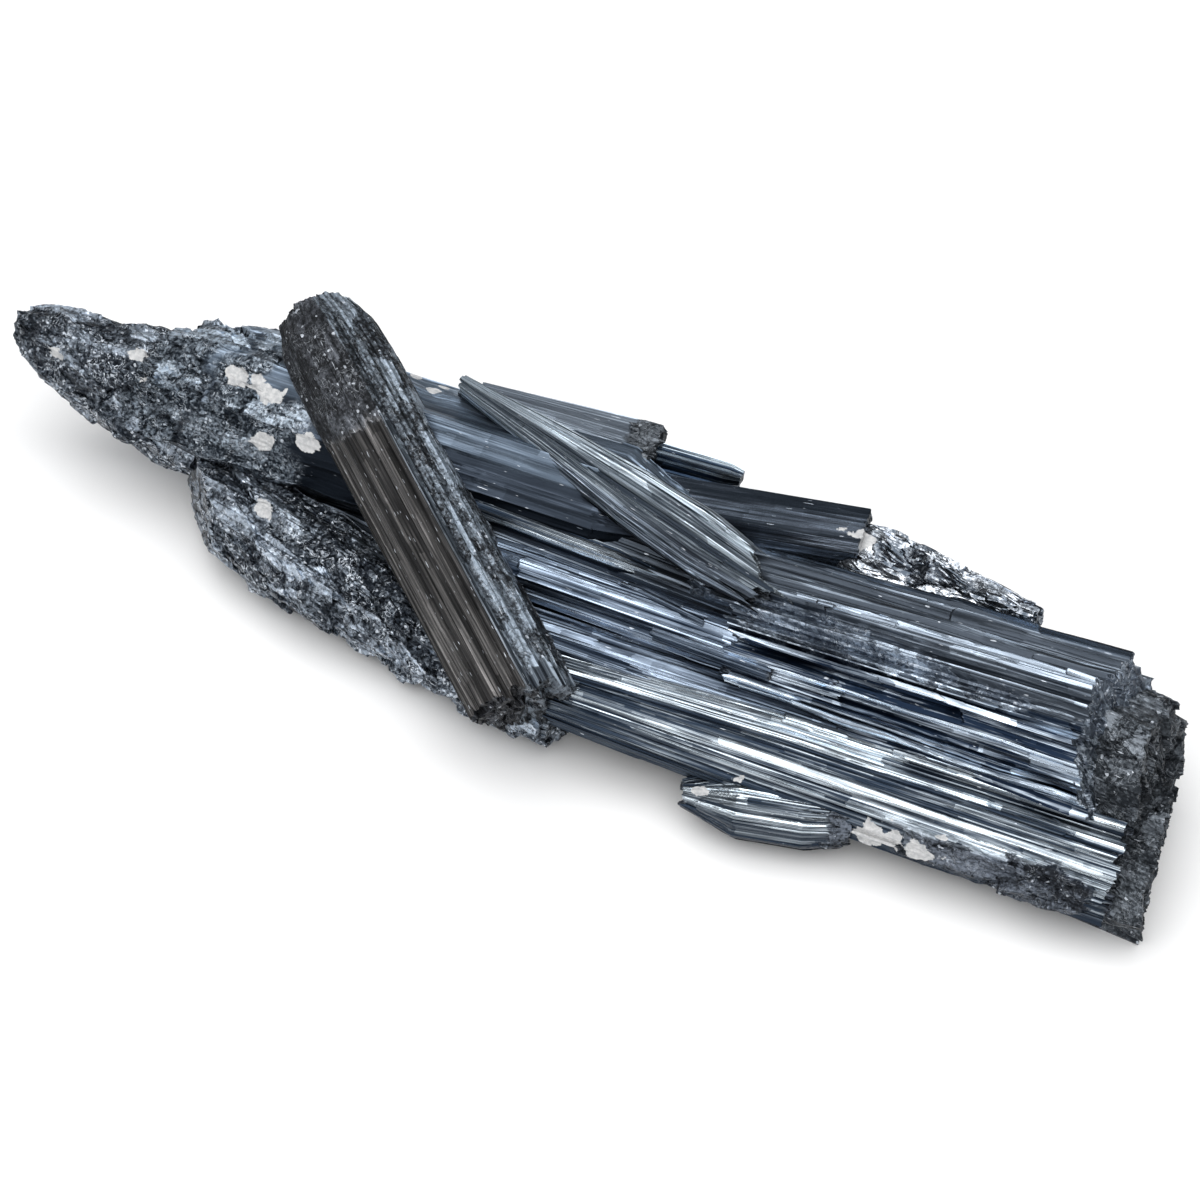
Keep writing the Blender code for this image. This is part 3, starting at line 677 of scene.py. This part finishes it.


# %% Painted glint lines, dark cracks and uneven grain
def grain_group():
    """Cloud is soft uneven tone. The glint line output is 1 on thin wandering lines, where a warped noise passes its
    middle value, but only in the places that a second, broader noise picks out; the finish paints these lines as
    bright glints. Crack is the same with a slower noise and no such choice."""
    nodes, given, made, tree = new_group(
        "grain", {"Glint lines per mm": 1.1, "Width": 0.02}, ("Cloud", "Broad", "GlintLine", "Crack"))
    where = nodes.add("ShaderNodeTexCoord").outputs["Object"]
    scale = nodes.math("MULTIPLY", given["Glint lines per mm"], 1 / MM)
    lines = nodes.add("ShaderNodeTexNoise", {"Vector": where, "Scale": scale, "Detail": 2.0,
                                             "Roughness": 0.5, "Distortion": 1.2})
    broad = nodes.add("ShaderNodeTexNoise", {"Vector": where, "Scale": 0.5 / MM, "Detail": 2.0})
    deep = nodes.add("ShaderNodeTexNoise", {"Vector": where, "Scale": 0.4 / MM, "Detail": 5.0,
                                            "Roughness": 0.6, "Distortion": 0.5})
    cloud = nodes.add("ShaderNodeTexNoise", {"Vector": where, "Scale": 2.2 / MM, "Detail": 5.0,
                                             "Roughness": 0.65})
    away = nodes.math("ABSOLUTE", nodes.math("SUBTRACT", lines.outputs["Fac"], 0.5))
    thin = nodes.math("SUBTRACT", 1.0, nodes.math("DIVIDE", away, given["Width"]), clamp=True)
    glint_line = nodes.math("MULTIPLY", thin, nodes.ramp(broad.outputs["Fac"], 0.44, 0.56))
    nodes.tree.links.new(glint_line, made["GlintLine"])
    nodes.tree.links.new(broad.outputs["Fac"], made["Broad"])
    away = nodes.math("ABSOLUTE", nodes.math("SUBTRACT", deep.outputs["Fac"], 0.5))
    crack = nodes.math("SUBTRACT", 1.0, nodes.math("DIVIDE", away, 0.018), clamp=True)
    nodes.tree.links.new(crack, made["Crack"])
    nodes.tree.links.new(nodes.ramp(cloud.outputs["Fac"], 0.32, 0.68), made["Cloud"])
    return tree


STRIATIONS, GLITTER, GRAIN = striation_group(), glitter_group(), grain_group()
print("groups:", [tree.name for tree in (STRIATIONS, GLITTER, GRAIN)])

# %% [markdown]
# ## The finishes
# Fresh stibnite is a blue-grey metal mirror broken up by its striations. Weathered faces go matt and nearly black or
# brown. Faces that look down, the valleys between ridges and the front sides of the splinter and the upper left
# prism get painted shade, and broken or crusty places get painted glints. One recipe with different colours and
# amounts gives them all, so the crystals look like one mineral.

# %% One recipe for every finish
PALE_LOW, PALE_HIGH = (0.42, 0.43, 0.44), (0.62, 0.62, 0.62)


@dataclass
class Finish:
    """low and high are the colours in the dark and bright lines, gloss the roughness of each. A second pair of
    colours is for a crystal's other side, where it has one, with one more colour for that side's crust: the cross
    prism has a brown side and a blue-grey side, the main prism a duller top, and on the splinter and the upper left
    prism the first, darker pair is painted shade on the front side. contrast is how far the lines stand out, and
    crust_low and crust_high are the colours of broken and crusty places."""

    low: tuple
    high: tuple
    gloss: tuple = (0.36, 0.2)
    contrast: float = 1.0
    glint_lines: float = 0.3
    metal: float = 0.92
    lines: float = 2.2
    bump: float = 0.35
    sparkle: float = 0.012
    speck_and_glint_from: float = 0.72
    crust_low: tuple = (0.02, 0.024, 0.03)
    crust_high: tuple = (0.20, 0.225, 0.26)
    crust_gloss: float = 0.48
    tint_and_shade_side: tuple = ()
    crust_tint_and_shade_side: tuple = ()


FINISHES = {
    "bright": Finish((0.008, 0.015, 0.028), (0.55, 0.67, 0.84)),
    "steel_blue": Finish((0.02, 0.035, 0.06), (0.80, 0.92, 1.0), (0.25, 0.13), contrast=1.1),
    "polished": Finish((0.016, 0.025, 0.04), (0.82, 0.92, 1.0), (0.3, 0.16), contrast=1.15,
                       speck_and_glint_from=0.74, crust_low=(0.012, 0.014, 0.018), crust_high=(0.2, 0.23, 0.28)),
    "plain": Finish((0.005, 0.008, 0.013), (0.12, 0.15, 0.20), (0.42, 0.26), contrast=0.8, glint_lines=0.8,
                    crust_low=(0.008, 0.012, 0.018), crust_high=(0.54, 0.63, 0.73),
                    tint_and_shade_side=((0.022, 0.032, 0.047), (0.40, 0.50, 0.63)), crust_tint_and_shade_side=(0.54, 0.63, 0.73)),
    "flaky": Finish((0.006, 0.013, 0.028), (0.74, 0.86, 1.0), contrast=1.35, glint_lines=0.6,
                    crust_low=(0.06, 0.075, 0.10), crust_high=(0.74, 0.84, 0.95), crust_gloss=0.3,
                    tint_and_shade_side=((0.045, 0.055, 0.07), (0.40, 0.47, 0.56))),
    "dark": Finish((0.009, 0.009, 0.0095), (0.22, 0.212, 0.21), (0.5, 0.32), metal=0.8, lines=3.2,
                   speck_and_glint_from=0.70, crust_low=(0.01, 0.011, 0.013), crust_high=(0.12, 0.13, 0.15),
                   tint_and_shade_side=((0.013, 0.018, 0.025), (0.33, 0.39, 0.46))),
    "glassy": Finish((0.012, 0.017, 0.024), (0.28, 0.33, 0.41), (0.25, 0.15)),
    "slate": Finish((0.016, 0.021, 0.029), (0.32, 0.38, 0.46), (0.42, 0.25), contrast=0.9, metal=0.88,
                    crust_low=(0.014, 0.017, 0.021), crust_high=(0.20, 0.225, 0.255)),
    "silver": Finish((0.03, 0.038, 0.05), (0.52, 0.60, 0.70), (0.42, 0.26), contrast=0.6,
                     crust_low=(0.01, 0.012, 0.015), crust_high=(0.22, 0.245, 0.275)),
    "fibrous": Finish((0.010, 0.013, 0.019), (0.33, 0.40, 0.49), (0.42, 0.24), metal=0.88, lines=3.4,
                      bump=0.5, speck_and_glint_from=0.70, tint_and_shade_side=((0.02, 0.028, 0.04), (0.78, 0.90, 1.0))),
    "granular": Finish((0.012, 0.017, 0.024), (0.46, 0.54, 0.63), (0.45, 0.3), metal=0.9, glint_lines=1.0,
                       sparkle=0.035, crust_low=(0.007, 0.01, 0.015), crust_high=(0.46, 0.53, 0.62),
                       crust_gloss=0.36),
    "broken": Finish((0.03, 0.035, 0.045), (0.50, 0.54, 0.60), (0.3, 0.15), metal=0.95, bump=0.1,
                     glint_lines=0.0, crust_low=(0.06, 0.075, 0.095), crust_high=(0.85, 0.90, 0.97),
                     crust_gloss=0.16),
}


def line_light(nodes, line, finish):
    """How bright each line of a smooth side is, from 0 to 1: drawn-out noise and each narrow face's own tone,
    darkened by painted shade in the valleys and where a face looks down."""
    streak = nodes.ramp(line.outputs["Streak"], 0.38, 0.66)
    hair = nodes.ramp(line.outputs["Hair"], 0.35, 0.7)
    tone = nodes.ramp(nodes.mask("tone"), 0.3, 0.75)
    light = nodes.math("ADD", nodes.math("MULTIPLY", streak, 0.3), nodes.math("MULTIPLY", hair, 0.25))
    light = nodes.math("ADD", light, nodes.math("MULTIPLY", tone, 0.7))
    # Painted shade in the valleys between ridges.
    crest = nodes.math("SUBTRACT", 1.0, nodes.mask("valley"))
    light = nodes.math("MULTIPLY", light, nodes.ramp(crest, -0.1, 0.6), clamp=True)
    light = nodes.math("POWER", light, 2.2)
    light = nodes.math("ADD", nodes.math("MULTIPLY", light, finish.contrast),
                       0.4 * (1 - finish.contrast), clamp=True)
    # Painted shade where a face looks down.
    shade = nodes.math("MULTIPLY", nodes.mask("painted_under_shade"), 0.95)
    return nodes.math("MULTIPLY", light, nodes.math("SUBTRACT", 1.0, shade))


def make_finish(name, finish):
    """The material: lines along the crystal choose between the two colours and the two gloss values, crust and
    broken faces take an uneven grain with painted glint lines and dark cracks instead, painted glints, partly real
    specks, whiten small spots, and pale patches, mostly mineral and one a painted reflection, are laid over both."""
    made = bpy.data.materials.new(name + "_stibnite")
    made.use_nodes = True
    nodes = Nodes(made.node_tree)
    shader = made.node_tree.nodes["Principled BSDF"]
    line = nodes.add("ShaderNodeGroup", node_tree=STRIATIONS)
    line.inputs["Lines per mm"].default_value = finish.lines
    glitter = nodes.add("ShaderNodeGroup", node_tree=GLITTER)
    glitter.inputs["Share"].default_value = finish.sparkle
    grain = nodes.add("ShaderNodeGroup", node_tree=GRAIN)
    light = line_light(nodes, line, finish)
    low, high = finish.low, finish.high
    # The second colours past a place across: on the splinter and the upper left prism the darker first colours are
    # painted shade on the front side.
    if finish.tint_and_shade_side:
        low = nodes.mix(nodes.mask("tint_and_shade_side"), low, finish.tint_and_shade_side[0])
        high = nodes.mix(nodes.mask("tint_and_shade_side"), high, finish.tint_and_shade_side[1])
    side = nodes.mix(light, low, high)
    rough_place = nodes.math("MAXIMUM", nodes.mask("broken"), nodes.mask("crust"), clamp=True)
    shares = ((grain.outputs["Cloud"], 0.2), (nodes.mask("tone"), 0.25), (light, 0.3),
              (glitter.outputs["Facet"], 0.25))
    uneven = 0.0
    for value, amount in shares:
        uneven = nodes.math("ADD", nodes.math("MULTIPLY", value, amount), uneven)
    uneven = nodes.math("POWER", nodes.ramp(uneven, 0.15, 0.8), 1.3)
    uneven = nodes.math("MULTIPLY", uneven, nodes.math(
        "SUBTRACT", 1.0, nodes.math("MULTIPLY", grain.outputs["Crack"], 0.8)))
    uneven = nodes.math("MULTIPLY", uneven, nodes.math(
        "SUBTRACT", 1.0, nodes.math("MULTIPLY", nodes.mask("broken"), 0.45)))
    crust_high = finish.crust_high
    if finish.tint_and_shade_side:
        crust_high = nodes.mix(nodes.mask("tint_and_shade_side"), crust_high, finish.crust_tint_and_shade_side or finish.tint_and_shade_side[1])
    crust = nodes.mix(uneven, finish.crust_low, crust_high)
    # Painted glints: bright wandering lines on crust and broken faces.
    glint_line = nodes.math("MULTIPLY", grain.outputs["GlintLine"], finish.glint_lines)
    crust = nodes.mix(glint_line, crust, nodes.mix(0.8, crust_high, (0.80, 0.86, 0.93)))
    colour = nodes.mix(rough_place, side, crust)
    # Painted glints whiten the colour: short bright dashes along the lines, partly real specks, and on rough places
    # the brightest glitter cells.
    sparkle = nodes.math("MULTIPLY", glitter.outputs["Sparkle"], rough_place)
    speck_and_glint = nodes.math("MAXIMUM", nodes.ramp(line.outputs["SpeckAndGlint"], finish.speck_and_glint_from, finish.speck_and_glint_from + 0.03),
                       sparkle)
    colour = nodes.mix(nodes.math("MULTIPLY", speck_and_glint, 0.55), colour, (0.7, 0.75, 0.82))
    # Pale patches of calcite and dust; the one at the back plate's end is a painted reflection.
    edge = nodes.math("SUBTRACT", grain.outputs["Broad"], 0.5)
    pale = nodes.math("ADD", nodes.mask("pale"), nodes.math("MULTIPLY", edge, 1.6))
    edge = nodes.math("SUBTRACT", grain.outputs["Cloud"], 0.5)
    pale = nodes.math("ADD", pale, nodes.math("MULTIPLY", edge, 0.12))
    pale = nodes.math("MULTIPLY", nodes.ramp(pale, 0.36, 0.41), nodes.ramp(nodes.mask("pale"), 0.02, 0.1))
    colour = nodes.mix(pale, colour, nodes.mix(grain.outputs["Cloud"], PALE_LOW, PALE_HIGH))
    gloss = nodes.add("ShaderNodeMapRange", {"Value": light, "To Min": finish.gloss[0],
                                             "To Max": finish.gloss[1]}).outputs["Result"]
    matt = nodes.math("SUBTRACT", finish.crust_gloss, gloss)
    gloss = nodes.math("ADD", gloss, nodes.math("MULTIPLY", matt, rough_place))
    gloss = nodes.math("ADD", gloss, nodes.math("MULTIPLY", pale, 0.4))
    metal = nodes.math("MULTIPLY", nodes.math("SUBTRACT", 1.0, pale), finish.metal)
    height = nodes.math("ADD", line.outputs["Height"],
                        nodes.math("MULTIPLY", glitter.outputs["Facet"], 0.3))
    rough_height = nodes.math("MULTIPLY", grain.outputs["Cloud"], rough_place)
    height = nodes.math("ADD", height, nodes.math("MULTIPLY", rough_height, 1.3))
    dent = nodes.math("MULTIPLY", grain.outputs["Crack"], rough_place)
    height = nodes.math("SUBTRACT", height, nodes.math("MULTIPLY", dent, 0.8))
    bump = nodes.add("ShaderNodeBump", {"Height": height, "Strength": finish.bump,
                                        "Distance": 0.12 * MM})
    link = nodes.tree.links.new
    link(colour, shader.inputs["Base Color"])
    link(gloss, shader.inputs["Roughness"])
    link(metal, shader.inputs["Metallic"])
    link(bump.outputs["Normal"], shader.inputs["Normal"])
    return made


materials = {name: make_finish(name, finish) for name, finish in FINISHES.items()}
for crystal in CRYSTALS:
    obj = skins[crystal.name]
    obj.data.materials.append(materials[crystal.finish])
print("finishes:", sorted(materials))

# %% [markdown]
# ## The table, the light and the camera
# A metallic mineral shows only what it mirrors, so it wants large soft lights with dark gaps between
# them: each small face then picks up either a light or a gap, and the ridges read as bright and dark
# lines. The floor is plain and nearly white, and the shadow is soft.

# %% The floor


def make_floor():
    mesh = bpy.data.meshes.new("floor")
    half = 3.0
    mesh.from_pydata([(-half, -half, 0), (half, -half, 0), (half, half, 0), (-half, half, 0)], [],
                     [(0, 1, 2, 3)])
    floor = bpy.data.objects.new("floor", mesh)
    bpy.context.scene.collection.objects.link(floor)
    made = bpy.data.materials.new("pale_table")
    made.use_nodes = True
    shader = made.node_tree.nodes["Principled BSDF"]
    shader.inputs["Base Color"].default_value = (0.95, 0.95, 0.95, 1)
    shader.inputs["Roughness"].default_value = 0.7
    mesh.materials.append(made)
    return floor


floor = make_floor()

# %% The lights


def soft_light(name, place, aim, size, power, colour=(1, 1, 1)):
    """A square area light at place, turned to aim, both in metres."""
    data = bpy.data.lights.new(name, "AREA")
    data.shape = "RECTANGLE"
    data.size, data.size_y = size
    data.energy = power
    data.color = colour
    light = bpy.data.objects.new(name, data)
    light.location = place
    light.rotation_euler = (Vector(place) - Vector(aim)).to_track_quat("Z", "Y").to_euler()
    bpy.context.scene.collection.objects.link(light)
    return light


soft_light("top_softbox", (0.0, -0.15, 0.9), (0, -0.05, 0), (1.4, 1.2), 14.8)
soft_light("front_softbox", (-0.3, -0.95, 0.32), (0, 0, 0), (1.4, 0.3), 3.4)
soft_light("right_softbox", (1.1, -0.3, 0.45), (0, 0, 0), (0.6, 0.5), 1.2)
soft_light("back_softbox", (-0.3, 0.9, 0.9), (0, 0, 0), (0.9, 0.4), 1.5, (0.92, 0.96, 1.0))
world = bpy.data.worlds.new("studio")
world.use_nodes = True
world.node_tree.nodes["Background"].inputs["Color"].default_value = (0.05, 0.053, 0.058, 1)
world.node_tree.nodes["Background"].inputs["Strength"].default_value = 1.0
bpy.context.scene.world = world
bpy.context.scene.view_settings.view_transform = "Standard"

# %% The camera
AZIMUTH, ELEVATION, DISTANCE = math.radians(27.0), math.radians(50.0), 0.31153
TARGET = np.array((0.0, 0.0, 10.0)) - ORIGIN

back = Vector((math.sin(AZIMUTH) * math.cos(ELEVATION), -math.cos(AZIMUTH) * math.cos(ELEVATION),
               math.sin(ELEVATION)))
lens = bpy.data.cameras.new("camera")
lens.lens = 100
lens.sensor_width = 36
lens.clip_start = 0.01
camera = bpy.data.objects.new("camera", lens)
camera.location = Vector(TARGET * MM) + back * DISTANCE
camera.rotation_euler = back.to_track_quat("Z", "Y").to_euler()
bpy.context.scene.collection.objects.link(camera)
bpy.context.scene.camera = camera
